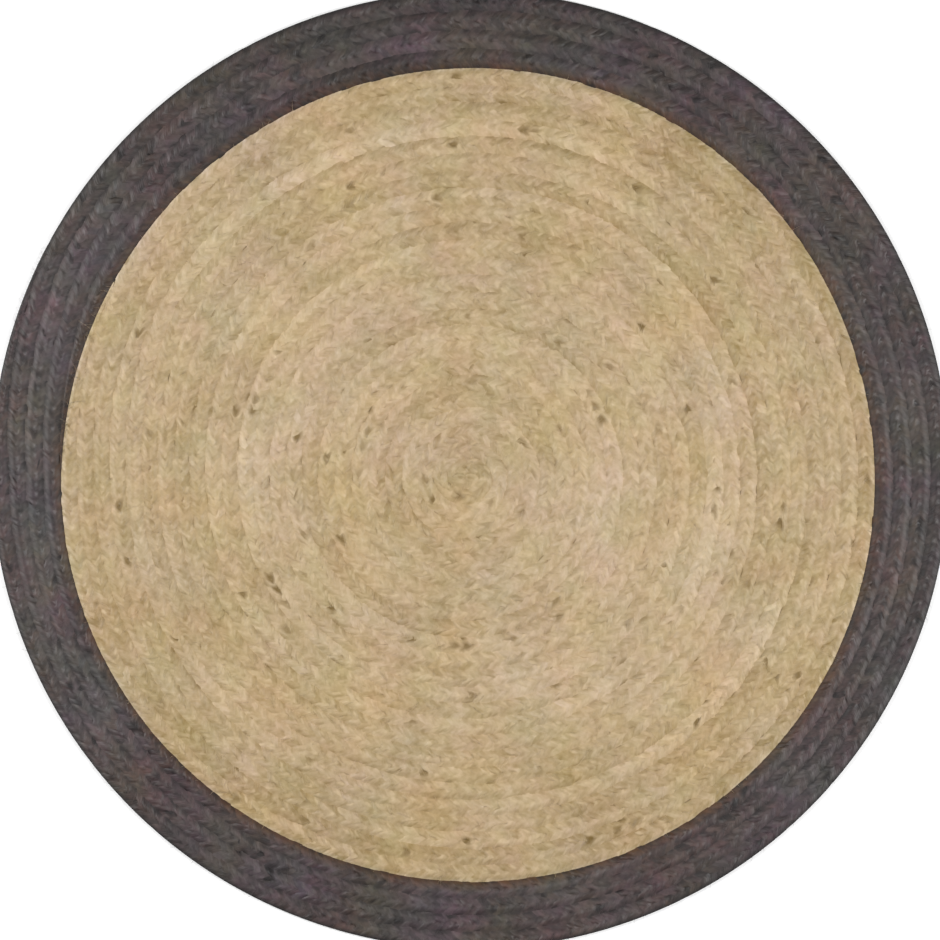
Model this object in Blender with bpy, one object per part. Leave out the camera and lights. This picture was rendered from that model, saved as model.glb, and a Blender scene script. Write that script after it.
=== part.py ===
"""Round braided jute rug, 1.2 m across, lying flat.

One natural jute braid is coiled flat and sewn edge to edge, and one charcoal braid carries the coil on
for four more rows as a border.  Both solids have a flat underside and one arched ridge for each row.

Frame: metres, +Z up, origin under the middle of the rug on the surface it lies on.
"""

import math

import bmesh
import bpy
from mathutils import Vector

# Driving dimensions, metres unless named otherwise.
RUG_RADIUS = 0.600
FIELD_RADIUS = 0.509
FIELD_OFFSET = Vector((-0.0012, -0.0080))
COIL_CENTRE = Vector((-0.0050, -0.0090))
FIELD_ROWS = 24
BORDER_ROWS = 4
CREST_HEIGHT = 0.0090
SEAM_HEIGHT = 0.0054
RIM_TUCK = 0.0020
SEWN_GAP = 0.0003

# Where the braids end: the coil runs outwards clockwise, and each braid tapers to nothing along this arc.
SPLICE_ANGLE = math.radians(150.0)
TAPER_TURN = 1.0 / 12.0

# The rows are even spirals up to this row, and then ease into the shape of the field's edge.
EVEN_ROWS = 8.0

# Steps of the mesh round one turn, and where the points of one row stand across it.
STEPS = 72
SHOULDERS = (0.27, 0.73)
ARC_SAMPLES = 48
GRID_HALF = 0.5
WELD_DISTANCE = 0.0001
SHARP_ANGLE = math.radians(50.0)

NATURAL = ("natural_jute", (0.51, 0.38, 0.23), 0.85)
CHARCOAL = ("charcoal_jute", (0.093, 0.077, 0.075), 0.85)


def circle_distance(centre, radius, angle):
    """Distance from the coil's centre to a circle, in the direction of the angle."""
    direction = Vector((math.cos(angle), math.sin(angle)))
    offset = COIL_CENTRE - centre
    along = offset.dot(direction)
    return -along + math.sqrt(along * along - offset.length_squared + radius * radius)


def turn_angle(turn):
    """Angle of a fraction of a turn, counted clockwise from the splice."""
    return SPLICE_ANGLE - math.tau * turn


def field_rows(turn):
    """Rows of natural braid from the coil's centre to the field's edge."""
    rows = FIELD_ROWS + turn
    taper_start = 1.0 - TAPER_TURN
    if turn > taper_start:
        rows = FIELD_ROWS + taper_start * (1.0 - turn) / TAPER_TURN
    return rows


def mean_row_width():
    """Width of one row, so that the even spiral ends close to the field's edge."""
    turns = [step / ARC_SAMPLES for step in range(ARC_SAMPLES)]
    reach = sum(circle_distance(FIELD_OFFSET, FIELD_RADIUS, turn_angle(turn)) for turn in turns)
    rows = sum(field_rows(turn) for turn in turns)
    return reach / rows


ROW_WIDTH = mean_row_width()


def ease(value):
    """Smooth step from 0 to 1."""
    value = min(max(value, 0.0), 1.0)
    return value * value * (3.0 - 2.0 * value)


def field_reach(row, turn):
    """Distance from the coil's centre to a row coordinate in the field."""
    last = field_rows(turn)
    edge = circle_distance(FIELD_OFFSET, FIELD_RADIUS, turn_angle(turn))
    weight = ease((row - EVEN_ROWS) / (last - EVEN_ROWS))
    return ROW_WIDTH * row + weight * (edge - ROW_WIDTH * last)


def border_reach(row, turn):
    """Distance from the coil's centre to a row coordinate in the border."""
    angle = turn_angle(turn)
    inner = circle_distance(FIELD_OFFSET, FIELD_RADIUS, angle) + SEWN_GAP
    outer = circle_distance(Vector((0.0, 0.0)), RUG_RADIUS, angle)
    return inner + (outer - inner) * (row - field_rows(turn)) / BORDER_ROWS


def place(reach, turn, height):
    """Point at a distance and a turn from the coil's centre."""
    angle = turn_angle(turn)
    return Vector((
        COIL_CENTRE.x + reach * math.cos(angle),
        COIL_CENTRE.y + reach * math.sin(angle),
        height,
    ))


def row_stations(first_row, last_row):
    """Row number and place across it of every mesh line, from the coil's inside outwards."""
    stations = []
    for row in range(first_row, last_row):
        stations.append((row, 0.0))
        for shoulder in SHOULDERS:
            stations.append((row, shoulder))
    stations.append((last_row - 1, 1.0))
    return stations


def crest(width):
    """Height of a row's shoulders, lower where the braid tapers."""
    return SEAM_HEIGHT + (CREST_HEIGHT - SEAM_HEIGHT) * ease(min(width, 1.0))


def coil_surface(stations, reach_at, first_edge, last_edge):
    """Ridged top of a coil: a grid of stations by steps, wound into a spiral and welded turn to turn."""
    mesh = bmesh.new()
    last_station = len(stations) - 1
    bmesh.ops.create_grid(mesh, x_segments=STEPS, y_segments=last_station, size=GRID_HALF)
    for vertex in mesh.verts:
        turn = vertex.co.x + GRID_HALF
        row, across = stations[round((vertex.co.y + GRID_HALF) * last_station)]
        inner = min(max(row + turn, first_edge(turn)), last_edge(turn))
        outer = min(max(row + 1.0 + turn, first_edge(turn)), last_edge(turn))
        coordinate = inner + (outer - inner) * across
        height = crest(outer - inner) if 0.0 < across < 1.0 else SEAM_HEIGHT
        vertex.co = place(reach_at(coordinate, turn), turn, height)
    bmesh.ops.remove_doubles(mesh, verts=mesh.verts, dist=WELD_DISTANCE)
    bmesh.ops.dissolve_degenerate(mesh, edges=mesh.edges, dist=WELD_DISTANCE)
    return mesh


def rim_loops(mesh):
    """Open edges of the surface as loops, the smaller one first."""
    open_edges = {edge for edge in mesh.edges if edge.is_boundary}
    loops = []
    while open_edges:
        stack = [open_edges.pop()]
        loop = set(stack)
        while stack:
            for vertex in stack.pop().verts:
                linked = [edge for edge in vertex.link_edges if edge in open_edges]
                open_edges.difference_update(linked)
                loop.update(linked)
                stack.extend(linked)
        loops.append(list(loop))
    return sorted(loops, key=lambda loop: sum(edge.calc_length() for edge in loop))


def drop_rim(mesh, loop, tuck):
    """Extrude a rim loop down to the floor, and pull it in towards the rug's middle by the tuck."""
    extruded = bmesh.ops.extrude_edge_only(mesh, edges=loop)["geom"]
    for vertex in (item for item in extruded if isinstance(item, bmesh.types.BMVert)):
        flat = Vector((vertex.co.x, vertex.co.y, 0.0))
        vertex.co = flat * (1.0 - tuck / flat.length)
        vertex.co.z = 0.0
    return [item for item in extruded if isinstance(item, bmesh.types.BMEdge)]


def finish_solid(name, mesh, finish):
    """Turn a closed bmesh into a named object with its own material."""
    bmesh.ops.triangulate(mesh, faces=mesh.faces, quad_method="FIXED")
    bmesh.ops.recalc_face_normals(mesh, faces=mesh.faces)
    data = bpy.data.meshes.new(name)
    mesh.to_mesh(data)
    mesh.free()
    data.shade_smooth()
    data.set_sharp_from_angle(angle=SHARP_ANGLE)
    material_name, colour, roughness = finish
    material = bpy.data.materials.new(material_name)
    material.use_nodes = True
    shader = material.node_tree.nodes["Principled BSDF"]
    shader.inputs["Base Color"].default_value = (*colour, 1.0)
    shader.inputs["Roughness"].default_value = roughness
    shader.inputs["Metallic"].default_value = 0.0
    data.materials.append(material)
    solid = bpy.data.objects.new(name, data)
    bpy.context.scene.collection.objects.link(solid)
    return solid


def build_field():
    """Coil of natural braid, from the eye in the middle to the tapered end at the splice."""
    stations = row_stations(-1, FIELD_ROWS)
    mesh = coil_surface(stations, field_reach, lambda turn: 0.0, field_rows)
    (rim,) = rim_loops(mesh)
    underside = drop_rim(mesh, rim, 0.0)
    bmesh.ops.contextual_create(mesh, geom=underside)
    return finish_solid("natural_field", mesh, NATURAL)


def build_border():
    """Coil of charcoal braid, with both its ends tapered along the splice."""
    stations = row_stations(FIELD_ROWS - 1, FIELD_ROWS + BORDER_ROWS)
    mesh = coil_surface(stations, border_reach, field_rows, lambda turn: field_rows(turn) + BORDER_ROWS)
    inner_rim, outer_rim = rim_loops(mesh)
    inner_foot = drop_rim(mesh, inner_rim, 0.0)
    outer_foot = drop_rim(mesh, outer_rim, RIM_TUCK)
    bmesh.ops.bridge_loops(mesh, edges=inner_foot + outer_foot)
    return finish_solid("dark_border", mesh, CHARCOAL)


def main():
    for item in list(bpy.data.objects):
        bpy.data.objects.remove(item, do_unlink=True)
    rug = bpy.data.objects.new("jute_rug", None)
    bpy.context.scene.collection.objects.link(rug)
    for solid in (build_field(), build_border()):
        solid.parent = rug


main()
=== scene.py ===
"""Finish of the round braided jute rug: plaited strands in a coil, loose fibres and a plain stage."""

import math
from collections import namedtuple

import bmesh
import bpy
import numpy as np
from bpy.props import FloatProperty, FloatVectorProperty, IntProperty, PointerProperty
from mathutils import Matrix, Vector


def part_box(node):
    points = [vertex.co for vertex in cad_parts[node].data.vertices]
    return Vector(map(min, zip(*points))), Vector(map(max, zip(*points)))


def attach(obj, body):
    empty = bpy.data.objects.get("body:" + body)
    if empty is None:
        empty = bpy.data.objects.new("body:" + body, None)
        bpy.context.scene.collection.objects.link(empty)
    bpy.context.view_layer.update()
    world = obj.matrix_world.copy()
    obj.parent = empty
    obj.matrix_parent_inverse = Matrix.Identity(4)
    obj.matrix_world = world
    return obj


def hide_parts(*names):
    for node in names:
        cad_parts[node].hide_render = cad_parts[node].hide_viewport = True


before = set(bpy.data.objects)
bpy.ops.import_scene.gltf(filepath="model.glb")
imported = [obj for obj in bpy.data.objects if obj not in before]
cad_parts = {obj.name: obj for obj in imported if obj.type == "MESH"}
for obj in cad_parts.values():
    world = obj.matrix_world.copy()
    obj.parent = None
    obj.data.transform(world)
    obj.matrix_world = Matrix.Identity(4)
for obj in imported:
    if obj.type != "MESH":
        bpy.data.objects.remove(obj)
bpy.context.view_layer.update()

bl_info = {
    "name": "Round braided jute rug",
    "version": (1, 0, 0),
    "blender": (4, 5, 0),
    "location": "3D View > Sidebar > Jute rug",
    "description": "Braids, coils and finishes a round jute rug, and lights it for a picture from above",
    "category": "Object",
}

BODY = "root"
FLOOR_NAME = "studio_floor"
RUG_LOW, RUG_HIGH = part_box("dark_border")

# The coil: its rows, and the splice, from which turns are counted clockwise. Its braid starts at EYE_START.
FIELD_ROWS = 24
BORDER_ROWS = 4
SPLICE_ANGLE = math.radians(150.0)
TAPER_TURN = 1.0 / 12.0
EYE_START = 0.12

# Rows round the eye that keep one width, least widths of a tail in rows, and how the plaiting drifts.
EVEN_ROWS = 8.0
SHORTEST_TAIL = 0.03
THINNEST_TAIL = 0.3
PITCH_WAVES = (4.3, 11.7, 29.0)
PITCH_SPREAD = 0.18

# Samples along a braid and round the field, and how many pieces each braid is made in.
COIL_SAMPLES = 60000
WIDTH_SAMPLES = 48
FIELD_PIECES = 4
BORDER_PIECES = 2

# The field's edge is slightly three-cornered, with one corner at the lower right.
FIELD_CORNERS = 3
FIELD_SWELL = 0.0025
FIELD_CORNER_ANGLE = math.radians(-45.0)

# One plait: a lobe is the stretch of a strand that shows on one side of the braid.
STRANDS = 3
LOBE_STEPS = 6
HALF_LOBE_STEPS = LOBE_STEPS // 2
TOP_STATIONS = (0.0, 0.22, 0.45, 0.68, 0.88, 1.0)
UNDER_STATIONS = (0.85, 0.45, 0.0)
HALF_RING = len(TOP_STATIONS) + len(UNDER_STATIONS) - 1
RING = 2 * HALF_RING

# Form of the lobes. Leans are in lobe pitches, starts and widths in shares of the braid's half width.
ARCH_POWER = 0.8
LOBE_ROUNDNESS = 2.2
LOBE_LEAN = 0.75
LOBE_SLIP = 0.13
MIDDLE_ZIGZAG = 0.15
SIZE_SPREAD = 0.22
LEAST_RADIUS = 0.012
FLANK_START = TOP_STATIONS[2]
EDGE_START = 0.6
LEAST_FLANK = 0.5
FURROW_DEPTH = 0.0008
FURROW_WIDTH = 0.4
UNDER_ROUNDNESS = 2.7
UNDER_HOLLOW = 0.0011
UNDER_RISE = 0.0009

# A lobe's edge: how far it is pushed out or left back, its least overlap, and the share the groove takes.
EDGE_SPREAD = 0.0011
PULLED_EDGE = 0.0008
HOLLOW_EDGE = 0.0006
LEAST_OVERLAP = 0.0002
GROOVE_EASE = 0.6

# Reach of the colour line's groove and of its painted shade and light, inside and outside it, and of the rim,
# which carries painted shade, in rows.
INSIDE_ROWS = 0.2
GROOVE_ROWS = 0.32
LINE_SHADE_AND_LIGHT_ROWS = 0.66
RIM_ROWS = 0.24

# Sideways drift of the rows, which fades out towards the colour line, and the widening beside the eye.
DRIFT = 0.0012
DRIFT_REACH = 0.47
DRIFT_WAVES = ((31.0, 7.0, 0.3), (-12.0, 44.0, 1.9), (58.0, -37.0, 4.1), (-83.0, -61.0, 2.2))
EYE_WIDENING = 0.007
EYE_REACH = 0.03

# Tones and hues drift along the braid: how long each drift is, in lobes, and its share.
STRAND_DRIFTS = ((26, 0.35), (160, 0.5))
BRAID_DRIFTS = ((9, 0.3), (25, 0.45), (70, 0.75))
SIDE_DRIFT = (40, 0.6)
HUE_DRIFT = 12
STRAND_TONE_SPREAD = 0.25
LOBE_TONE_SPREAD = 0.6
LOBE_HUE_SPREAD = 0.5
SPARE_LOBES = 4
SPARE_KNOTS = 3

# Lobes that the sewing has pulled down: their share, and how far, from 0 to 1.
PULLED_SHARE = 0.1
PULLED_DROP = (0.3, 1.0)

# A row's tone has faded out at this many half widths, and an arc's tone fades in over this many degrees.
ROW_FADE = 1.5
ARC_FADE = 8.0

# Strand UV: how far a strand runs across the braid, in lobe pitches, and its slant.
STRAND_RUN = 1.2
STRAND_SLANT = math.radians(45.0)

# Loose fibres: length and lift are shape and scale of a gamma spread, tone is mean and deviation, and
# the mean heading is 1 across the braid for 0.84 along it.
FIBRE_SIDES = 3
FIBRE_RINGS = 3
NATURAL_FIBRES = 4000
CHARCOAL_FIBRES = 1200
FIBRE_MARGIN = 0.95
FIBRE_LENGTH = (5.0, 0.0032)
FIBRE_LIFT = (2.0, 0.0004)
FIBRE_TONE = (1.6, 1.2)
FIBRE_RADIUS = (0.00009, 0.00017)
FIBRE_HEADING = math.atan2(1.0, 0.84)
HEADING_SPREAD = 0.4
BOW_SPREAD = 9.0
FREE_SHARE = 0.2
FREE_LIFT = 1.6
FIBRE_SINK = 0.0002
FIBRE_TAPER = 0.5
FIBRE_UV_STEP = 0.003

FACE_CORNERS = 4
HALF_ROW = 0.5
GRID_HALF = 0.5
WELD_DISTANCE = 0.00001
CREASE_ANGLE = math.radians(55.0)

# Rows where the natural braid is paler (above 0) or browner: row from the eye, half its width, and tone.
ROW_TONES = (
    (0.4, 0.5, -1.0),
    (2.4, 0.8, 0.4),
    (4.2, 1.2, -0.7),
    (5.8, 0.6, 0.5),
    (7.2, 1.0, 1.0),
    (9.5, 0.5, -0.3),
    (10.6, 2.0, 0.4),
    (12.2, 0.6, 0.6),
    (13.1, 0.5, -0.6),
    (16.3, 1.4, -1.1),
    (18.4, 1.2, -1.5),
    (20.2, 0.5, 0.4),
    (21.5, 0.5, -2.0),
    (23.8, 1.6, -1.9),
)

# Single stretches of a row that stand out: row, middle and half-length in degrees, and tone.
ARC_TONES = (
    (15.4, 0.0, 38.0, 1.3),
    (20.1, -45.0, 30.0, 1.3),
    (14.5, 48.0, 34.0, -1.2),
    (17.7, 35.0, 45.0, -1.0),
    (20.9, 5.0, 55.0, -1.1),
    (16.6, 200.0, 60.0, -0.9),
    (12.9, 110.0, 50.0, -0.8),
)

# Patterns of the fibre material, as cells or waves in a metre.
HAIR_SCALE = (70.0, 2300.0, 9.0)
YARN_SCALE = (60.0, 620.0, 13.0)
MOTTLE_SCALE = 130.0
GRAIN_SCALE = 310.0
WARP_SCALE = 260.0
PATCH_SCALE = 9.0
HUE_SCALE = (-9.0, 9.0, 9.0)
BLUSH_SCALE = (-14.0, -14.0, 14.0)
CLUSTER_SCALE = (17.0, -17.0, 17.0)
KNUCKLE_CELLS = (136.0, 205.0, 1.0)
SMUDGE_CELLS = (80.0, 115.0, 1.0)
FLECK_CELLS = (57.0, 84.0, 1.0)
GLINT_CELLS = (105.0, 200.0, 1.0)

# Twist of the plies, and the shift that makes spots irregular.
PLY_PITCH = 0.0021
PLY_WANDER = 9.0
WARP_AMOUNT = 0.003

# How much each layer changes the shade of the fibres, which runs from 0, deep, to 1, pale.
TONE_SHARE = 0.07
YARN_SHARE = 0.22
HAIR_SHARE = 0.05
GRAIN_SHARE = 0.16
KNUCKLE_SHARE = 0.2
PATCH_SHARE = 0.5
CROWN_SHARE = 0.03

# Strength of the marks, among them the rim's painted shade and the pale glints, partly painted highlight; and
# the share of a spot or of the seams' painted shade that has the full strength.
SMUDGE_DEPTH = 0.4
GLINT_DEPTH = 0.45
RIM_SHADE_DEPTH = 0.95
SPOT_CORE = 0.3
SEAM_SHADE_CORE = 0.5

# Look: a fibre's colours and marks. Layers: nodes that the parts of a material share. Fibres: one value
# for each loose fibre.
Look = namedtuple(
    "Look",
    "colour deep pale mottle hue_share warmth blush fleck fleck_share "
    "dash_share dash_depth glint seam roughness gloss sheen",
)
Layers = namedtuple("Layers", "place warped tone hue chance crown edge hair yarn")
Fibres = namedtuple("Fibres", "step lateral length heading bow lift free thick tone chance")

# Softboxes on both sides, each turned to the rug's middle: place of the right one, and size.
SOFTBOX_PLACE = (3.16, -0.45, 2.6)
SOFTBOX_SIZE = (2.0, 3.0)

SENSOR_WIDTH = 36.0
WHITE = (1.0, 1.0, 1.0, 1.0)


# ---- settings


class RugBraidSettings(bpy.types.PropertyGroup):
    """Sizes of the braid and of the coil it is wound into."""

    rug_radius: FloatProperty(
        name="Rug radius",
        description="Radius of the finished rug",
        default=(RUG_HIGH.y - RUG_LOW.y) / 2,
        unit="LENGTH",
    )
    field_radius: FloatProperty(
        name="Field radius", description="Radius of the natural field", default=0.5095, unit="LENGTH"
    )
    field_centre: FloatVectorProperty(
        name="Field centre",
        description="Middle of the natural field, a little off the rug's middle",
        default=(-0.0012, -0.0080),
        size=2,
        subtype="XYZ",
        unit="LENGTH",
    )
    coil_centre: FloatVectorProperty(
        name="Coil centre",
        description="Eye of the coil, where the natural braid starts",
        default=(-0.0050, -0.0090),
        size=2,
        subtype="XYZ",
        unit="LENGTH",
    )
    eye_radius: FloatProperty(
        name="Eye radius",
        description="Radius of the hole at the eye of the coil, below 0 where the braid closes over it",
        default=-0.0006,
        unit="LENGTH",
    )
    lobe_pitch: FloatProperty(
        name="Lobe pitch",
        description="Distance along the braid from one strand crossing to the next on the same side",
        default=0.0121,
        unit="LENGTH",
    )
    crest_height: FloatProperty(
        name="Crest height", description="Top of the braid above the floor", default=0.0089, unit="LENGTH"
    )
    edge_height: FloatProperty(
        name="Edge height", description="Height of the braid's widest line", default=0.0061, unit="LENGTH"
    )
    foot_height: FloatProperty(
        name="Foot height",
        description="Lowest line of the braid above the floor",
        default=0.0001,
        unit="LENGTH",
    )
    relief: FloatProperty(
        name="Relief", description="Depth of the hollow between two lobes", default=0.0006, unit="LENGTH"
    )
    seam_gap: FloatProperty(
        name="Seam gap",
        description="How far the braid's edge drops where the sewing has pulled it down",
        default=0.0022,
        unit="LENGTH",
    )
    row_overlap: FloatProperty(
        name="Row overlap",
        description="How far the sewing presses each row into its neighbour",
        default=0.0017,
        unit="LENGTH",
    )
    groove_depth: FloatProperty(
        name="Groove depth",
        description="Depth of the groove between the two colours",
        default=0.0009,
        unit="LENGTH",
    )
    seed: IntProperty(name="Seed", description="Seed of the braid's unevenness", default=7)


class RugColourSettings(bpy.types.PropertyGroup):
    """Colours of the fibres."""

    natural: FloatVectorProperty(
        name="Natural jute",
        description="Mean colour of the field",
        default=(0.468, 0.345, 0.195),
        subtype="COLOR",
    )
    bark: FloatVectorProperty(
        name="Bark",
        description="Flecks of bark left in the field",
        default=(0.165, 0.100, 0.022),
        subtype="COLOR",
    )
    charcoal: FloatVectorProperty(
        name="Charcoal jute",
        description="Mean colour of the border",
        default=(0.0500, 0.0337, 0.0317),
        subtype="COLOR",
    )
    # Pale flecks of the border, partly undyed fibre and partly painted highlight.
    undyed_and_glint: FloatVectorProperty(
        name="Undyed flecks and painted glints",
        description="Flecks of the border that the dye has left paler",
        default=(0.108, 0.094, 0.088),
        subtype="COLOR",
    )


class RugStageSettings(bpy.types.PropertyGroup):
    """Floor, lights and camera."""

    floor_size: FloatProperty(name="Floor size", description="Side of the floor", default=14.0, unit="LENGTH")
    side_power: FloatProperty(
        name="Side lights", description="Power of each side light", default=150.0, unit="POWER"
    )
    sky_strength: FloatProperty(name="Sky", description="Strength of the light from all round", default=0.15)
    camera_height: FloatProperty(
        name="Camera height", description="Camera above the floor", default=6.0, unit="LENGTH"
    )
    picture_pixels: IntProperty(name="Picture side", description="Side of the picture in pixels", default=940)
    rug_pixels: FloatProperty(
        name="Rug radius in pixels", description="Radius of the rug in the picture", default=478.9
    )
    rug_middle: FloatVectorProperty(
        name="Rug middle in pixels",
        description="Place of the rug's middle in the picture, from its top left corner",
        default=(470.3, 469.96),
        size=2,
    )


def braid_settings():
    return bpy.context.scene.rug_braid


def colour_settings():
    return bpy.context.scene.rug_colours


def stage_settings():
    return bpy.context.scene.rug_stage


# ---- coil


def smooth_step(value):
    value = np.clip(value, 0.0, 1.0)
    return value * value * (3.0 - 2.0 * value)


def turn_angle(turn):
    """Angle of a number of turns, counted clockwise from the splice."""
    return SPLICE_ANGLE - math.tau * turn


def circle_reach(centre, radius, turn):
    """Distance from the coil's centre to a circle, in the direction of the turn."""
    angle = turn_angle(turn)
    eye = braid_settings().coil_centre
    offset_x = eye[0] - centre[0]
    offset_y = eye[1] - centre[1]
    along = offset_x * np.cos(angle) + offset_y * np.sin(angle)
    return np.sqrt(along * along - offset_x**2 - offset_y**2 + radius**2) - along


def field_edge(turn):
    """Distance from the coil's centre to the field's edge, which is a little out of round."""
    settings = braid_settings()
    angle = turn_angle(turn)
    swell = FIELD_SWELL * np.cos(FIELD_CORNERS * (angle - FIELD_CORNER_ANGLE))
    return circle_reach(settings.field_centre, settings.field_radius, turn) + swell


def field_rows(turn):
    """Rows of natural braid from the eye to the field's edge: one row fewer where the braid tapers out."""
    part = turn - np.floor(turn)
    taper_start = 1.0 - TAPER_TURN
    tapered = FIELD_ROWS + taper_start * (1.0 - part) / TAPER_TURN
    return np.minimum(FIELD_ROWS + part, tapered)


def mean_row_width():
    """Width of one row, so that the even spiral ends close to the field's edge."""
    turns = np.linspace(0.0, 1.0, WIDTH_SAMPLES, endpoint=False)
    return float(field_edge(turns).sum() / field_rows(turns).sum())


def field_reach(row, turn):
    """Distance from the coil's centre to a seam of the natural field."""
    settings = braid_settings()
    width = mean_row_width()
    last = field_rows(turn)
    edge = field_edge(turn)
    weight = smooth_step((row - EVEN_ROWS) / (last - EVEN_ROWS))
    eye = settings.eye_radius * np.clip(1.0 - row, 0.0, 1.0)
    return eye + width * row + weight * (edge - width * last)


def border_reach(row, turn):
    """Distance from the coil's centre to a seam of the dark border."""
    settings = braid_settings()
    inner = field_edge(turn)
    outer = circle_reach((0.0, 0.0), settings.rug_radius, turn)
    return inner + (outer - inner) * (row - field_rows(turn)) / BORDER_ROWS


class Coil:
    """One braid's way round the rug: its seams, its length and its steps."""

    def __init__(self, reach, lower, upper, first_turn, last_turn):
        self.reach = reach
        self.lower = lower
        self.upper = upper
        turns = np.linspace(first_turn, last_turn, COIL_SAMPLES)
        turns = turns[self.rows_wide(turns) >= SHORTEST_TAIL]
        middle = self.radius(turns)
        lengths = np.hypot(np.diff(middle), math.tau * middle[:-1] * np.diff(turns))
        self.turns = turns
        self.lengths = np.concatenate(([0.0], np.cumsum(lengths)))
        step = self.pitch(turns[:-1]) / LOBE_STEPS
        self.counts = np.concatenate(([0.0], np.cumsum(lengths / step)))
        self.steps = int(self.counts[-1] // LOBE_STEPS) * LOBE_STEPS

    def seams(self, turn):
        """Row coordinates of the braid's inner and outer seam."""
        inner = np.maximum(turn - 1.0, self.lower(turn))
        outer = np.minimum(turn, self.upper(turn))
        return inner, np.maximum(outer, inner)

    def rows_wide(self, turn):
        inner, outer = self.seams(turn)
        return outer - inner

    def thinness(self, turn):
        """1 on the full braid, smaller on its tapered ends."""
        return np.clip(self.rows_wide(turn), THINNEST_TAIL, 1.0)

    def pitch(self, turn):
        """Length of one lobe along the braid, which is plaited tighter here and looser there."""
        drift = sum(np.sin(math.tau * count * turn + count) for count in PITCH_WAVES) / len(PITCH_WAVES)
        return braid_settings().lobe_pitch * self.thinness(turn) * (1.0 + PITCH_SPREAD * drift)

    def radius(self, turn):
        inner, outer = self.seams(turn)
        return self.reach((inner + outer) / 2, turn)

    def turn_at(self, step):
        return np.interp(step, self.counts, self.turns)

    def length_at(self, step):
        return np.interp(self.turn_at(step), self.turns, self.lengths)


def natural_coil():
    return Coil(field_reach, lambda turn: 0.0 * turn, field_rows, EYE_START, FIELD_ROWS + 1.0)


def charcoal_coil():
    return Coil(
        border_reach,
        field_rows,
        lambda turn: field_rows(turn) + BORDER_ROWS,
        FIELD_ROWS + 1.0 - TAPER_TURN,
        FIELD_ROWS + BORDER_ROWS + 1.0,
    )


# ---- plait


def ring_table():
    """Side, distance from the middle, face and lean of every line along the braid."""
    half = [(across, 1.0) for across in TOP_STATIONS] + [(across, -1.0) for across in UNDER_STATIONS]
    across, face = np.array(half).T
    lean = np.where(face > 0, across, 2.0 - across)
    number = np.arange(-HALF_RING, HALF_RING + 1)
    pick = np.abs(number)
    return np.where(number < 0, -1.0, 1.0), across[pick], face[pick], lean[pick]


def lobe_dip(phase):
    """0 on a lobe's crest, 1 in the hollow between two lobes."""
    off_crest = np.abs(2.0 * phase - 1.0)
    return 1.0 - (1.0 - off_crest**LOBE_ROUNDNESS) ** (1.0 / LOBE_ROUNDNESS)


def row_arch(across):
    """Height of the braid's rounded top, from 1 on its middle line to 0 at its edge."""
    return (1.0 - across**2) ** ARCH_POWER


def slow_noise(random, count, spacing):
    """Random values that drift from one to the next over a number of lobes."""
    knots = random.normal(0.0, 1.0, count // spacing + SPARE_KNOTS)
    return np.interp(np.arange(count) / spacing, np.arange(len(knots)), knots)


class Unevenness:
    """Random sizes and tones of one braid's lobes, the same in every run."""

    def __init__(self, lobes, seed, spread):
        random = np.random.default_rng(seed)
        count = lobes + SPARE_LOBES
        number = np.arange(count)
        left = (number - 1) % STRANDS
        right = number % STRANDS
        strand = 0.0
        for length, share in STRAND_DRIFTS:
            strand += share * np.stack([slow_noise(random, count, length) for _ in range(STRANDS)])
        strand += random.normal(0.0, STRAND_TONE_SPREAD, (STRANDS, 1))
        hue = np.stack([slow_noise(random, count, HUE_DRIFT) for _ in range(STRANDS)])
        self.size = random.normal(0.0, 1.0, (2, count))
        self.slip = random.normal(0.0, 1.0, (2, count))
        self.push = random.normal(0.0, 1.0, (2, count))
        drop = random.uniform(*PULLED_DROP, (2, count))
        self.gap = drop * (random.uniform(0.0, 1.0, (2, count)) < PULLED_SHARE)
        self.tone = np.stack([strand[left, number], strand[right, number]])
        self.tone += random.normal(0.0, LOBE_TONE_SPREAD, self.tone.shape)
        for length, share in BRAID_DRIFTS:
            self.tone += share * slow_noise(random, count, length)
        length, share = SIDE_DRIFT
        self.tone += share * np.stack([slow_noise(random, count, length) for _ in range(2)])
        self.tone *= spread
        self.hue = np.stack([hue[left, number], hue[right, number]])
        self.hue += random.normal(0.0, LOBE_HUE_SPREAD, self.hue.shape)
        self.chance = random.uniform(0.0, 1.0, self.tone.shape)

    def add_row_tones(self, coil):
        """Makes whole rows, and stretches of a row, paler or browner."""
        turn = coil.turn_at(np.arange(self.tone.shape[1]) * float(LOBE_STEPS))
        row = turn - HALF_ROW
        for middle, half, tone in ROW_TONES:
            self.tone += tone * np.clip(ROW_FADE - np.abs(row - middle) / half, 0.0, 1.0)
        degrees = np.degrees(turn_angle(turn))
        for middle, centre, half, tone in ARC_TONES:
            off = (degrees - centre + 180.0) % 360.0 - 180.0
            here = np.clip((half - np.abs(off)) / ARC_FADE, 0.0, 1.0)
            self.tone += tone * here * (np.abs(row - middle) < HALF_ROW)


def wander(x, y):
    """Slow sideways drift of the rows, from -1 to 1, from a few plane waves."""
    waves = [np.sin(across * x + along * y + start) for across, along, start in DRIFT_WAVES]
    return sum(waves) / len(waves)


def vertex_places(mesh):
    """Places of a mesh's vertices, one row each."""
    flat = np.empty(len(mesh.vertices) * 3, dtype=np.float32)
    mesh.vertices.foreach_get("co", flat)
    return flat.reshape(-1, 3)


def write_value(mesh, name, values):
    """Attribute with one number for each vertex, which the material reads."""
    attribute = mesh.attributes.new(name, "FLOAT", "POINT")
    attribute.data.foreach_set("value", values.astype(np.float32))


def grid_mesh(name, columns, rows, half_side):
    """Flat square grid round the origin."""
    work = bmesh.new()
    bmesh.ops.create_grid(work, x_segments=columns, y_segments=rows, size=half_side)
    mesh = bpy.data.meshes.new(name)
    work.to_mesh(mesh)
    work.free()
    return mesh


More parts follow.
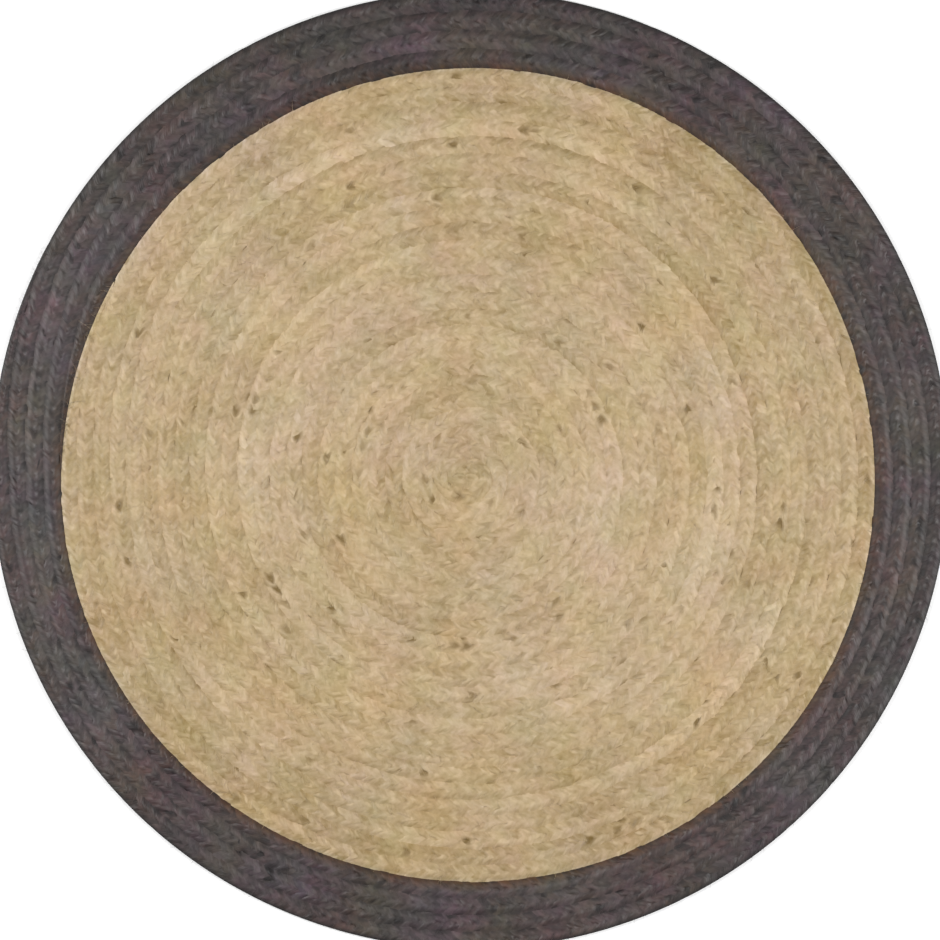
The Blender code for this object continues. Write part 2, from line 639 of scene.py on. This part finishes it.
def tube_grid(name, steps):
    """Flat grid of steps by ring lines, with the step and the ring line of every vertex."""
    mesh = grid_mesh(name, steps, RING, GRID_HALF)
    flat = vertex_places(mesh)
    step = np.rint((flat[:, 0] + GRID_HALF) * steps).astype(int)
    line = np.rint((flat[:, 1] + GRID_HALF) * RING).astype(int)
    return mesh, step, line


class LobeGrid:
    """Where every vertex of a stretch of braid stands: on its ring, in its lobe, and from the colour line."""

    def __init__(self, coil, step, line, uneven):
        self.step = step
        self.side, self.across, self.face, self.lean = [values[line] for values in ring_table()]
        self.right = (self.side > 0).astype(int)
        shifted = step + np.where(self.right == 1, 0, HALF_LOBE_STEPS)
        self.lobe = shifted // LOBE_STEPS
        self.phase = (shifted % LOBE_STEPS) / LOBE_STEPS
        self.dip = lobe_dip(self.phase)
        self.crown = 1.0 - self.dip
        self.arch = row_arch(self.across)
        self.flank = np.clip(self.across / FLANK_START, 0.0, 1.0)
        self.edge = np.clip((self.across - EDGE_START) / (1.0 - EDGE_START), 0.0, 1.0)
        self.gap = uneven.gap[self.right, self.lobe]

        base = coil.turn_at(step.astype(float))
        self.thin = coil.thinness(base)
        self.swell = smooth_step(coil.rows_wide(base))
        self.turn = self.leaning_turn(coil, base, uneven)
        self.row = self.row_across(coil)
        from_field = self.row - field_rows(self.turn)
        self.groove = near_colour_line(from_field, GROOVE_ROWS)
        # Painted shade and light along the colour line: the material makes the field's edge paler and the
        # border's edge dark brown here.
        self.line_shade_and_light = near_colour_line(from_field, LINE_SHADE_AND_LIGHT_ROWS)
        # Rim: 1 on the border's outer edge, where the material paints shade and where the edge is not pressed
        # outward.
        self.rim = np.clip((from_field - BORDER_ROWS) / RIM_ROWS + 1.0, 0.0, 1.0)

    def leaning_turn(self, coil, base, uneven):
        """Turn of every vertex, where the strands lean forwards towards the braid's edges."""
        slip = (1.0 - self.phase) * uneven.slip[self.right, self.lobe]
        slip = slip + self.phase * uneven.slip[self.right, self.lobe + 1]
        lean = LOBE_LEAN * self.lean + LOBE_SLIP * slip * self.flank * (self.face > 0)
        radius = np.maximum(coil.radius(base), LEAST_RADIUS)
        turn = base + coil.pitch(base) * lean / (math.tau * radius)
        return np.clip(turn, coil.turns[0], coil.turns[-1])

    def row_across(self, coil):
        """Row coordinate of every vertex, with a zigzag along the braid's middle line."""
        zigzag = MIDDLE_ZIGZAG * np.cos(math.tau * (self.step % LOBE_STEPS) / LOBE_STEPS)
        lateral = self.side * self.across + zigzag * (self.across == 0.0) * (self.face > 0)
        inner, outer = coil.seams(self.turn)
        return inner + (outer - inner) * (lateral + 1.0) / 2.0


def near_colour_line(from_field, outside):
    """1 at the colour line, falling to 0 a little inside it and at a number of rows outside it."""
    away = np.where(from_field < 0.0, from_field / -INSIDE_ROWS, from_field / outside)
    return np.clip(1.0 - away, 0.0, 1.0)


def braid_reach(coil, grid, uneven):
    """Distance of every vertex from the coil's centre, with the edges pressed into the next row."""
    settings = braid_settings()
    uneven_edge = EDGE_SPREAD * uneven.push[grid.right, grid.lobe] - PULLED_EDGE * grid.gap
    shift = (uneven_edge * grid.crown - HOLLOW_EDGE * grid.dip) * (1.0 - grid.groove)
    bulge = settings.row_overlap * (1.0 - GROOVE_EASE * grid.groove) + shift
    bulge = np.maximum(bulge, LEAST_OVERLAP)
    pressed = grid.side * grid.thin * bulge * (grid.across == 1.0) * (1.0 - grid.rim)
    return coil.reach(grid.row, grid.turn) + pressed


def braid_height(grid, uneven):
    """Height of every vertex: a rounded top with hollows between the lobes, and a flatter underside."""
    settings = braid_settings()
    body = settings.crest_height - settings.edge_height
    top = body * grid.arch * (1.0 + SIZE_SPREAD * uneven.size[grid.right, grid.lobe] * grid.crown)
    top -= settings.seam_gap * grid.gap * grid.edge * grid.crown + settings.groove_depth * grid.groove**2
    inside = (grid.across < 1.0) * (grid.across > 0.0)
    top -= settings.relief * grid.dip * np.maximum(grid.flank, LEAST_FLANK) * inside
    top -= FURROW_DEPTH * np.clip(1.0 - grid.across / FURROW_WIDTH, 0.0, 1.0) ** 2
    top = settings.edge_height + top * grid.swell

    sole = settings.edge_height - settings.foot_height
    under = settings.foot_height + sole * (1.0 - np.sqrt(1.0 - grid.across**UNDER_ROUNDNESS))
    under += UNDER_HOLLOW * grid.dip * (grid.across > 0.0) + UNDER_RISE * (grid.across == 0.0)
    return np.where(grid.face > 0, top, under)


def coil_place(reach, angle):
    """Place at a distance from the coil's centre, with the rows' drift and the widening beside the eye."""
    eye = braid_settings().coil_centre
    x = reach * np.cos(angle)
    y = reach * np.sin(angle)
    reach = reach + DRIFT * wander(x, y) * np.clip(1.0 - np.hypot(x, y) / DRIFT_REACH, 0.0, 1.0)
    widening = EYE_WIDENING * np.sign(np.cos(angle)) * np.cos(angle) ** 2
    widening = widening * np.exp(-((reach / EYE_REACH) ** 2))
    return eye[0] + reach * np.cos(angle) + widening, eye[1] + reach * np.sin(angle)


def braid_mesh(name, coil, first, last, uneven):
    """One stretch of braid as a closed tube of lobes: a grid of steps by ring lines wound round the coil."""
    mesh, step, line = tube_grid(name, last - first)
    step += first
    grid = LobeGrid(coil, step, line, uneven)
    x, y = coil_place(braid_reach(coil, grid, uneven), turn_angle(grid.turn))
    spot = np.column_stack((x, y, braid_height(grid, uneven)))
    mesh.vertices.foreach_set("co", spot.astype(np.float32).ravel())
    write_value(mesh, "crown", grid.crown * grid.arch)
    # The seam value paints light on the field's edge and shade on the border's edge along the colour line.
    write_value(mesh, "seam", grid.line_shade_and_light)
    # The rim value paints shade on the rug's outer edge.
    write_value(mesh, "rim", grid.rim)
    write_value(mesh, "edge", grid.edge * grid.crown)
    paint_strands(mesh, coil, step, line, uneven)
    close_tube(mesh)
    return mesh


def corner_vertices(mesh):
    """Number of the vertex at every corner of a face."""
    corners = np.empty(len(mesh.loops), dtype=np.int32)
    mesh.loops.foreach_get("vertex_index", corners)
    return corners


def write_strands(mesh, tone, hue, chance, along, across):
    """Tone, hue and chance of every corner of a face, and its place on the strands in metres."""
    values = np.stack((tone, hue, chance, np.ones(len(tone))), axis=1)
    strand = mesh.attributes.new("strand", "FLOAT_COLOR", "CORNER")
    strand.data.foreach_set("color", values.astype(np.float32).ravel())
    uv = np.stack((along, across), axis=1)
    layer = mesh.uv_layers.new(name="strand_uv")
    layer.uv.foreach_set("vector", uv.astype(np.float32).ravel())


def paint_strands(mesh, coil, step, line, uneven):
    """Gives each lobe its own tone, hue and chance, and a UV map along and across its strand."""
    corners = corner_vertices(mesh)
    corner_step = step[corners].reshape(-1, FACE_CORNERS)
    corner_line = line[corners].reshape(-1, FACE_CORNERS)
    face_step = corner_step.min(axis=1)
    face_line = corner_line.min(axis=1)
    right = (face_line >= HALF_RING).astype(int)
    lobe = (face_step + np.where(right == 1, 0, HALF_LOBE_STEPS)) // LOBE_STEPS
    drawn = (uneven.tone, uneven.hue, uneven.chance)
    tone, hue, chance = [np.repeat(values[right, lobe], FACE_CORNERS) for values in drawn]
    side = np.where(corner_line >= HALF_RING, 1.0, -1.0)
    _, _, _, leans = ring_table()
    along = side * leans[corner_line] * braid_settings().lobe_pitch * STRAND_RUN
    across = coil.length_at(corner_step.astype(float)) * math.cos(STRAND_SLANT)
    write_strands(mesh, tone, hue, chance, along.ravel(), across.ravel())


def close_tube(mesh):
    """Weld the tube's long seam and cap its two ends."""
    work = bmesh.new()
    work.from_mesh(mesh)
    bmesh.ops.remove_doubles(work, verts=work.verts, dist=WELD_DISTANCE)
    ends = [edge for edge in work.edges if edge.is_boundary]
    bmesh.ops.holes_fill(work, edges=ends, sides=0)
    bmesh.ops.recalc_face_normals(work, faces=work.faces)
    work.to_mesh(mesh)
    work.free()
    mesh.shade_smooth()
    mesh.set_sharp_from_angle(angle=CREASE_ANGLE)


def add_object(name, data):
    """New object in the scene."""
    item = bpy.data.objects.new(name, data)
    bpy.context.scene.collection.objects.link(item)
    return item


def add_piece(name, mesh, material):
    """New piece on the rug's body, in one material."""
    mesh.materials.append(material)
    piece = add_object(name, mesh)
    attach(piece, BODY)
    return piece


def braid_pieces(name, coil, parts, uneven, material, node):
    """Winds a braid round its coil in a few stretches, and works out the length and width of each."""
    lobes = coil.steps // LOBE_STEPS
    cuts = [round(lobes * part / parts) * LOBE_STEPS for part in range(parts + 1)]
    for number, (first, last) in enumerate(zip(cuts, cuts[1:]), start=1):
        mesh = braid_mesh(f"{name}_{number}", coil, first, last, uneven)
        piece = add_piece(mesh.name, mesh, material)
        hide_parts(node)
        length = float(coil.length_at(float(last)) - coil.length_at(float(first)))
        middle = coil.turn_at((first + last) / 2.0)
        inner, outer = coil.seams(middle)
        width = float(coil.reach(outer, middle) - coil.reach(inner, middle))


# ---- loose fibres


def fibre_array(name, count):
    """Many copies of one three-sided tube of unit length, side by side in one mesh."""
    work = bmesh.new()
    bmesh.ops.create_circle(work, segments=FIBRE_SIDES, radius=1.0, cap_ends=True)
    edges = list(work.edges)
    bmesh.ops.reverse_faces(work, faces=work.faces)
    for _ in range(FIBRE_RINGS):
        geom = bmesh.ops.extrude_edge_only(work, edges=edges)["geom"]
        edges = [item for item in geom if isinstance(item, bmesh.types.BMEdge) and item.is_boundary]
        top = list({vertex for edge in edges for vertex in edge.verts})
        bmesh.ops.translate(work, verts=top, vec=(0, 0, 1 / FIBRE_RINGS))
    bmesh.ops.holes_fill(work, edges=edges, sides=0)
    bmesh.ops.recalc_face_normals(work, faces=work.faces)
    single = bpy.data.meshes.new(name)
    work.to_mesh(single)
    work.free()
    holder = add_object(name + "_array", single)
    array = holder.modifiers.new("copies", "ARRAY")
    array.count = count
    array.use_relative_offset = False
    bpy.context.view_layer.update()
    evaluated = holder.evaluated_get(bpy.context.evaluated_depsgraph_get())
    mesh = bpy.data.meshes.new_from_object(evaluated)
    mesh.name = name
    each = len(single.vertices)
    bpy.data.objects.remove(holder, do_unlink=True)
    bpy.data.meshes.remove(single)
    return mesh, each


def draw_fibres(coil, count, seed):
    """Random place, size, direction and colour of each loose fibre, always drawn in the same order."""
    random = np.random.default_rng(seed)
    return Fibres(
        step=random.uniform(0.0, coil.steps - 1.0, count),
        lateral=random.uniform(-FIBRE_MARGIN, FIBRE_MARGIN, count),
        length=random.gamma(*FIBRE_LENGTH, count),
        heading=FIBRE_HEADING + random.normal(0.0, HEADING_SPREAD, count),
        bow=random.normal(0.0, BOW_SPREAD, count),
        lift=random.gamma(*FIBRE_LIFT, count),
        free=random.uniform(0.0, 1.0, count) < FREE_SHARE,
        thick=random.uniform(*FIBRE_RADIUS, count),
        tone=random.normal(*FIBRE_TONE, count),
        chance=random.uniform(0.0, 1.0, count),
    )


def fibre_starts(coil, fibres):
    """Middle of each fibre on the braid's top, its direction, and the direction aside from it."""
    settings = braid_settings()
    turn = coil.turn_at(fibres.step)
    inner, outer = coil.seams(turn)
    reach = coil.reach(inner + (outer - inner) * (fibres.lateral + 1.0) / 2.0, turn)
    angle = turn_angle(turn)
    outward = np.column_stack((np.cos(angle), np.sin(angle), 0.0 * angle))
    forward = np.column_stack((np.sin(angle), -np.cos(angle), 0.0 * angle))
    side = np.where(fibres.lateral > 0.0, 1.0, -1.0)
    along = outward * (side * np.sin(fibres.heading))[:, None] + forward * np.cos(fibres.heading)[:, None]
    aside = np.column_stack((-along[:, 1], along[:, 0], 0.0 * angle))
    body = settings.crest_height - settings.edge_height
    start = outward * reach[:, None]
    start[:, :2] += np.array(settings.coil_centre)
    start[:, 2] = settings.edge_height + body * row_arch(fibres.lateral)
    return start, along, aside


def paint_fibres(mesh, fibres, fibre, run):
    """Gives each fibre its own tone and chance, and a UV map along it."""
    corners = corner_vertices(mesh)
    owner = fibre[corners]
    tone = fibres.tone[owner]
    write_strands(mesh, tone, 0.0 * tone, fibres.chance[owner], run[corners], owner * FIBRE_UV_STEP)
    write_value(mesh, "crown", np.ones(len(fibre)))


def loose_fibres(name, coil, count, seed, material):
    """Fibres worked loose from the braid: most lie across the strands, some stand up at one end."""
    mesh, each = fibre_array(name, count)
    flat = vertex_places(mesh)
    fibre = np.arange(len(flat)) // each
    fibres = draw_fibres(coil, count, seed)
    start, along, aside = fibre_starts(coil, fibres)

    part = 2.0 * flat[:, 2] - 1.0
    run = part * fibres.length[fibre] / 2.0
    lying = 1.0 - part**2
    standing = FREE_LIFT * (part / 2.0 + 0.5) ** 2
    rise = np.where(fibres.free[fibre], standing, lying) * fibres.lift[fibre] - FIBRE_SINK
    round_up = fibres.thick[fibre] * (1.0 - FIBRE_TAPER * part**2)
    sideways = fibres.bow[fibre] * run**2 + flat[:, 0] * round_up
    spot = start[fibre] + along[fibre] * run[:, None] + aside[fibre] * sideways[:, None]
    spot[:, 2] += rise + flat[:, 1] * round_up
    mesh.vertices.foreach_set("co", spot.astype(np.float32).ravel())

    paint_fibres(mesh, fibres, fibre, run)
    mesh.shade_smooth()
    add_piece(name, mesh, material)


# ---- materials


class Finish:
    """Nodes of one material, where an input may be a number, a colour or another node's output."""

    def __init__(self, name):
        self.material = bpy.data.materials.new(name)
        self.material.use_nodes = True
        self.tree = self.material.node_tree
        self.shader = self.tree.nodes["Principled BSDF"]

    def join(self, value, socket):
        if isinstance(value, bpy.types.NodeSocket):
            self.tree.links.new(value, socket)
        else:
            socket.default_value = value

    def surface(self, inputs):
        """Joins numbers, colours or nodes to the shader."""
        for socket, value in inputs.items():
            self.join(value, self.shader.inputs[socket])

    def add(self, kind, inputs=(), **settings):
        node = self.tree.nodes.new(kind)
        for name, value in settings.items():
            setattr(node, name, value)
        for socket, value in dict(inputs).items():
            self.join(value, node.inputs[socket])
        return node

    def math(self, operation, first, second=0.0, third=0.0):
        return self.add("ShaderNodeMath", {0: first, 1: second, 2: third}, operation=operation).outputs[0]

    def shifted(self, vector, shift):
        return self.add("ShaderNodeVectorMath", {0: vector, 1: shift}, operation="ADD").outputs[0]

    def stretched(self, vector, scale):
        return self.add("ShaderNodeVectorMath", {0: vector, 1: scale}, operation="MULTIPLY").outputs[0]

    def noise(self, vector, scale=1.0, detail=1.0, roughness=0.5):
        inputs = {"Vector": vector, "Scale": scale, "Detail": detail, "Roughness": roughness}
        return self.add("ShaderNodeTexNoise", inputs).outputs["Fac"]

    def warp(self, vector, amount):
        """Small shifts that make the outlines of spots irregular."""
        inputs = {"Vector": vector, "Scale": WARP_SCALE, "Detail": 1.0}
        wave = self.add("ShaderNodeTexNoise", inputs).outputs["Color"]
        return self.stretched(self.shifted(wave, (-0.5, -0.5, -0.5)), (amount, amount, 0.0))

    def attribute(self, name, output="Fac"):
        return self.add("ShaderNodeAttribute", attribute_name=name).outputs[output]

    def fade(self, value, low, high):
        """0 where the value is at its low end, 1 at its high end."""
        node = self.add("ShaderNodeMapRange", {"Value": value, "From Min": low, "From Max": high})
        return node.outputs["Result"]

    def total(self, start, *shares):
        """A start value plus each value's distance from its middle, times its share."""
        result = start - sum(middle * share for _, middle, share in shares)
        for value, _, share in shares:
            result = self.math("MULTIPLY_ADD", value, share, result)
        return result

    def ramp(self, value, *stops):
        """Colour ramp from stops of a place and a colour."""
        node = self.add("ShaderNodeValToRGB", {"Fac": value})
        elements = node.color_ramp.elements
        while len(elements) < len(stops):
            elements.new(0.5)
        for element, (place, colour) in zip(elements, stops):
            element.position = place
            element.color = (*colour, 1.0)
        return node.outputs["Color"]

    def mix(self, share, first, second, blend_type="MIX"):
        """Blend of two colours. Input 0 is the share, 6 and 7 are the colours, and output 2 is the result."""
        node = self.add("ShaderNodeMix", data_type="RGBA", blend_type=blend_type)
        self.join(share, node.inputs[0])
        for socket, colour in ((6, first), (7, second)):
            if not isinstance(colour, bpy.types.NodeSocket):
                colour = (*colour, 1.0)
            self.join(colour, node.inputs[socket])
        return node.outputs[2]

    def channels(self, colour):
        return self.add("ShaderNodeSeparateColor", {"Color": colour}).outputs

    def knuckles(self, vector, scale):
        """A random value for each cell of a stretched grid, blending softly into its neighbours' values."""
        inputs = {"Vector": self.stretched(vector, scale), "Scale": 1.0, "Smoothness": 0.5}
        cells = self.add("ShaderNodeTexVoronoi", inputs, voronoi_dimensions="2D", feature="SMOOTH_F1")
        return self.channels(cells.outputs["Color"])[0]

    def spots(self, vector, scale, size, share, faintest):
        """Above 0 inside rounded spots, each of its own strength, in a share of a stretched grid's cells."""
        inputs = {"Vector": self.stretched(vector, scale), "Scale": 1.0}
        cells = self.add("ShaderNodeTexVoronoi", inputs, voronoi_dimensions="2D")
        pick, own, _ = self.channels(cells.outputs["Color"])
        inside = self.fade(cells.outputs["Distance"], size, size * SPOT_CORE)
        strength = self.math("MULTIPLY_ADD", own, 1.0 - faintest, faintest)
        spot = self.math("MULTIPLY", inside, strength)
        return self.math("MULTIPLY", spot, self.math("LESS_THAN", pick, share))


def tinted(colour, *factors):
    """A colour with each channel multiplied."""
    return tuple(channel * factor for channel, factor in zip(colour, factors))


def base_colour(paint, look, layers):
    """Uneven shade of the fibres, with patches that are warmer or colder, and pinker or greener."""
    place = layers.place
    shade = paint.total(
        0.5,
        (layers.tone, 0.0, TONE_SHARE),
        (layers.yarn, 0.5, YARN_SHARE),
        (layers.hair, 0.5, HAIR_SHARE),
        (paint.noise(place, MOTTLE_SCALE), 0.5, look.mottle),
        (paint.noise(place, GRAIN_SCALE), 0.5, GRAIN_SHARE),
        (paint.knuckles(layers.warped, KNUCKLE_CELLS), 0.5, KNUCKLE_SHARE),
        (paint.noise(place, PATCH_SCALE, detail=3.0), 0.5, PATCH_SHARE),
        (layers.crown, 0.5, CROWN_SHARE),
    )
    patch_hue = paint.noise(paint.stretched(place, HUE_SCALE), detail=3.0)
    patch_blush = paint.noise(paint.stretched(place, BLUSH_SCALE), detail=3.0, roughness=0.65)
    warm_shift = paint.total(0.5, (layers.hue, 0.0, look.hue_share), (patch_hue, 0.5, 1.0))
    colour = paint.ramp(shade, (0.0, look.deep), (0.5, look.colour), (1.0, look.pale))
    for shift, (cold, hot) in ((warm_shift, look.warmth), (patch_blush, look.blush)):
        colour = paint.mix(1.0, colour, paint.ramp(shift, (0.0, cold), (1.0, hot)), "MULTIPLY")
    return colour


def marked_colour(paint, look, layers, colour):
    """Smudges, and pale glints that are partly painted highlight, all over; flecks, and dashes of painted
    shade along the seams, in loose clusters.
    """
    cluster = paint.noise(paint.stretched(layers.place, CLUSTER_SCALE))
    smudge = paint.spots(layers.warped, SMUDGE_CELLS, size=0.62, share=0.2, faintest=0.3)
    colour = paint.mix(paint.math("MULTIPLY", smudge, SMUDGE_DEPTH), colour, look.deep)

    share = paint.math("MULTIPLY", paint.fade(cluster, low=0.4, high=0.68), look.fleck_share)
    fleck = paint.spots(layers.warped, FLECK_CELLS, size=0.6, share=share, faintest=0.1)
    fleck = paint.math("MULTIPLY", fleck, paint.fade(layers.yarn, low=-0.2, high=0.45))
    colour = paint.mix(fleck, colour, look.fleck)

    # Dark dashes on the lobes' edges along the seams: painted shade in the crevices between the rows.
    dash_share = paint.math("MULTIPLY", paint.fade(cluster, low=0.35, high=0.6), look.dash_share)
    pressed = paint.fade(layers.chance, low=dash_share, high=paint.math("MULTIPLY", dash_share, SEAM_SHADE_CORE))
    seam_shade = paint.math("MULTIPLY", paint.fade(layers.edge, low=0.0, high=0.6), pressed)
    colour = paint.mix(paint.math("MULTIPLY", seam_shade, look.dash_depth), colour, look.fleck)

    # Pale glints, partly paler fibre and partly painted highlight.
    glint = paint.spots(layers.warped, GLINT_CELLS, size=0.6, share=0.18, faintest=0.4)
    return paint.mix(paint.math("MULTIPLY", glint, GLINT_DEPTH), colour, look.glint)


def fibre_bump(paint, layers, flat):
    """Twist of the plies, hairs and yarns as fine relief."""
    ply = paint.add("ShaderNodeSeparateXYZ", {"Vector": flat}).outputs["Y"]
    waver = paint.math("MULTIPLY", layers.yarn, PLY_WANDER)
    ply = paint.math("MULTIPLY_ADD", ply, math.tau / PLY_PITCH, waver)
    ply = paint.math("SINE", ply)
    height = paint.total(0.5, (ply, 0.0, 0.28), (layers.hair, 0.5, 0.6), (layers.yarn, 0.5, 0.6))
    bump = paint.add("ShaderNodeBump", {"Strength": 0.28, "Distance": 0.0006, "Height": height})
    return bump.outputs["Normal"]


def fibre_layers(paint, flat):
    """Places, attributes and fine patterns that the parts of a fibre material share."""
    place = paint.add("ShaderNodeTexCoord").outputs["Object"]
    strand = paint.attribute("strand", "Color")
    tone, hue, chance = paint.channels(strand)
    lane = paint.add("ShaderNodeCombineXYZ", {"Z": chance}).outputs[0]
    lie = paint.shifted(flat, lane)
    return Layers(
        place=place,
        warped=paint.shifted(flat, paint.warp(place, WARP_AMOUNT)),
        tone=tone,
        hue=hue,
        chance=chance,
        crown=paint.attribute("crown"),
        edge=paint.attribute("edge"),
        hair=paint.noise(paint.stretched(lie, HAIR_SCALE), detail=2.0),
        yarn=paint.noise(paint.stretched(lie, YARN_SCALE)),
    )


def fibre_material(name, look):
    """Jute fibre: fine hairs and yarns along the strand, uneven tone and hue, flecks, and worn crests."""
    paint = Finish(name)
    flat = paint.add("ShaderNodeUVMap", uv_map="strand_uv").outputs["UV"]
    layers = fibre_layers(paint, flat)
    colour = marked_colour(paint, look, layers, base_colour(paint, look, layers))
    # Painted light on the field's edge and painted shade on the border's edge, along the colour line.
    colour = paint.mix(paint.attribute("seam"), colour, look.seam, "MULTIPLY")
    # Painted shade on the rug's outer rim.
    colour = paint.mix(paint.math("MULTIPLY", paint.attribute("rim"), RIM_SHADE_DEPTH), colour, look.deep)
    roughness = paint.total(
        look.roughness, (layers.hair, 0.5, 0.3), (layers.crown, 0.5, -0.08), (layers.edge, 0.0, 0.15)
    )
    paint.surface(
        {
            "Base Color": colour,
            "Roughness": roughness,
            "Specular IOR Level": look.gloss,
            "Sheen Weight": look.sheen,
            "Sheen Roughness": 0.45,
            "Normal": fibre_bump(paint, layers, flat),
        }
    )
    return paint.material


def natural_look():
    colours = colour_settings()
    natural = colours.natural
    return Look(
        colour=tuple(natural),
        deep=tinted(natural, 0.57, 0.52, 0.32),
        pale=tinted(natural, 1.41, 1.47, 1.72),
        mottle=0.45,
        hue_share=0.03,
        warmth=((0.945, 1.01, 1.26), (1.055, 0.99, 0.74)),
        blush=((0.93, 1.07, 0.93), (1.07, 0.93, 1.07)),
        fleck=tuple(colours.bark),
        fleck_share=0.13,
        # Dashes of painted shade along the seams: their share of lobes and their strength.
        dash_share=0.25,
        dash_depth=0.22,
        glint=tinted(natural, 1.4, 1.46, 1.56),
        # Paler field edge at the colour line: painted light.
        seam=(1.28, 1.38, 1.62),
        roughness=0.55,
        gloss=0.5,
        sheen=0.12,
    )


def charcoal_look():
    colours = colour_settings()
    charcoal = colours.charcoal
    return Look(
        colour=tuple(charcoal),
        deep=tinted(charcoal, 0.1, 0.1, 0.1),
        pale=tinted(charcoal, 2.1, 2.15, 2.2),
        mottle=0.58,
        hue_share=0.05,
        warmth=((0.72, 1.0, 1.4), (1.28, 1.0, 0.6)),
        blush=((0.7, 1.3, 0.7), (1.3, 0.7, 1.3)),
        fleck=tinted(charcoal, 0.12, 0.1, 0.1),
        fleck_share=0.5,
        # Dashes of painted shade along the seams: their share of lobes and their strength.
        dash_share=0.85,
        dash_depth=0.55,
        glint=tuple(colours.undyed_and_glint),
        # Dark brown border edge at the colour line: painted shade.
        seam=(0.95, 0.55, 0.12),
        roughness=0.56,
        gloss=0.58,
        sheen=0.05,
    )


# ---- operators


class RUG_OT_natural_field(bpy.types.Operator):
    """Braid natural jute and coil it into the rug's field"""

    bl_idname = "rug.natural_field"
    bl_label = "Natural field"

    def execute(self, context):
        seed = braid_settings().seed
        look = natural_look()
        material = fibre_material("natural_fibre", look)
        clean = fibre_material("natural_loose_fibre", look._replace(fleck_share=0.0))
        coil = natural_coil()
        uneven = Unevenness(coil.steps // LOBE_STEPS, seed, spread=1.0)
        uneven.add_row_tones(coil)
        braid_pieces("natural_braid", coil, FIELD_PIECES, uneven, material, "natural_field")
        loose_fibres("natural_fibres", coil, NATURAL_FIBRES, seed + 2, clean)
        return {"FINISHED"}


class RUG_OT_dark_border(bpy.types.Operator):
    """Braid charcoal jute and coil it round the field"""

    bl_idname = "rug.dark_border"
    bl_label = "Dark border"

    def execute(self, context):
        seed = braid_settings().seed
        material = fibre_material("charcoal_fibre", charcoal_look())
        coil = charcoal_coil()
        uneven = Unevenness(coil.steps // LOBE_STEPS, seed + 1, spread=1.4)
        braid_pieces("dark_braid", coil, BORDER_PIECES, uneven, material, "dark_border")
        loose_fibres("dark_fibres", coil, CHARCOAL_FIBRES, seed + 3, material)
        return {"FINISHED"}


class RUG_OT_stage(bpy.types.Operator):
    """Lay a plain pale floor and set the lights and the camera straight above the rug"""

    bl_idname = "rug.stage"
    bl_label = "Stage"

    def execute(self, context):
        add_floor()
        add_lights()
        add_camera()
        return {"FINISHED"}


def add_floor():
    mesh = grid_mesh(FLOOR_NAME, 1, 1, stage_settings().floor_size / 2)
    paint = Finish("pale_floor")
    paint.surface(
        {
            "Base Color": (0.95, 0.95, 0.95, 1.0),
            "Roughness": 0.9,
            "Emission Color": WHITE,
            "Emission Strength": 0.2,
        }
    )
    mesh.materials.append(paint.material)
    add_object(FLOOR_NAME, mesh)


def add_area_light(name, place, size, power):
    light = bpy.data.lights.new(name, "AREA")
    light.shape = "RECTANGLE"
    light.size = size[0]
    light.size_y = size[1]
    light.energy = power
    lamp = add_object(name, light)
    lamp.location = place
    lamp.rotation_euler = (-Vector(place)).to_track_quat("-Z", "Y").to_euler()


def add_lights():
    power = stage_settings().side_power
    across, along, height = SOFTBOX_PLACE
    for name, side in (("left_softbox", -1.0), ("right_softbox", 1.0)):
        add_area_light(name, (side * across, side * along, height), SOFTBOX_SIZE, power)
    world = bpy.context.scene.world or bpy.data.worlds.new("studio")
    bpy.context.scene.world = world
    world.use_nodes = True
    backdrop = world.node_tree.nodes["Background"]
    backdrop.inputs["Color"].default_value = WHITE
    backdrop.inputs["Strength"].default_value = stage_settings().sky_strength


def add_camera():
    """Camera straight above, with the rug as large and as far off the middle as in the photograph."""
    settings = stage_settings()
    metres_per_pixel = braid_settings().rug_radius / settings.rug_pixels
    middle = settings.picture_pixels / 2.0
    camera = bpy.data.cameras.new("camera")
    camera.sensor_width = SENSOR_WIDTH
    height = settings.camera_height
    camera.lens = camera.sensor_width * height / (settings.picture_pixels * metres_per_pixel)
    camera.clip_end = height * 4
    viewer = add_object("camera", camera)
    viewer.location = (
        (middle - settings.rug_middle[0]) * metres_per_pixel,
        (settings.rug_middle[1] - middle) * metres_per_pixel,
        height + braid_settings().edge_height,
    )
    bpy.context.scene.camera = viewer
    bpy.context.scene.view_settings.view_transform = "Standard"


class RUG_PT_sidebar(bpy.types.Panel):
    """Panel with the rug's settings and its making steps"""

    bl_idname = "RUG_PT_sidebar"
    bl_label = "Jute rug"
    bl_space_type = "VIEW_3D"
    bl_region_type = "UI"
    bl_category = "Jute rug"

    def draw(self, context):
        for group in (context.scene.rug_braid, context.scene.rug_colours, context.scene.rug_stage):
            for name in group.__annotations__:
                self.layout.prop(group, name)
        for step in STEPS:
            self.layout.operator(step.bl_idname)


STEPS = (RUG_OT_natural_field, RUG_OT_dark_border, RUG_OT_stage)
CLASSES = (RugBraidSettings, RugColourSettings, RugStageSettings, *STEPS, RUG_PT_sidebar)


def register():
    for item in CLASSES:
        bpy.utils.register_class(item)
    bpy.types.Scene.rug_braid = PointerProperty(type=RugBraidSettings)
    bpy.types.Scene.rug_colours = PointerProperty(type=RugColourSettings)
    bpy.types.Scene.rug_stage = PointerProperty(type=RugStageSettings)


def unregister():
    del bpy.types.Scene.rug_stage
    del bpy.types.Scene.rug_colours
    del bpy.types.Scene.rug_braid
    for item in reversed(CLASSES):
        bpy.utils.unregister_class(item)


def main():
    register()
    bpy.ops.rug.natural_field()
    bpy.ops.rug.dark_border()
    bpy.ops.rug.stage()


if __name__ == "__main__":
    main()
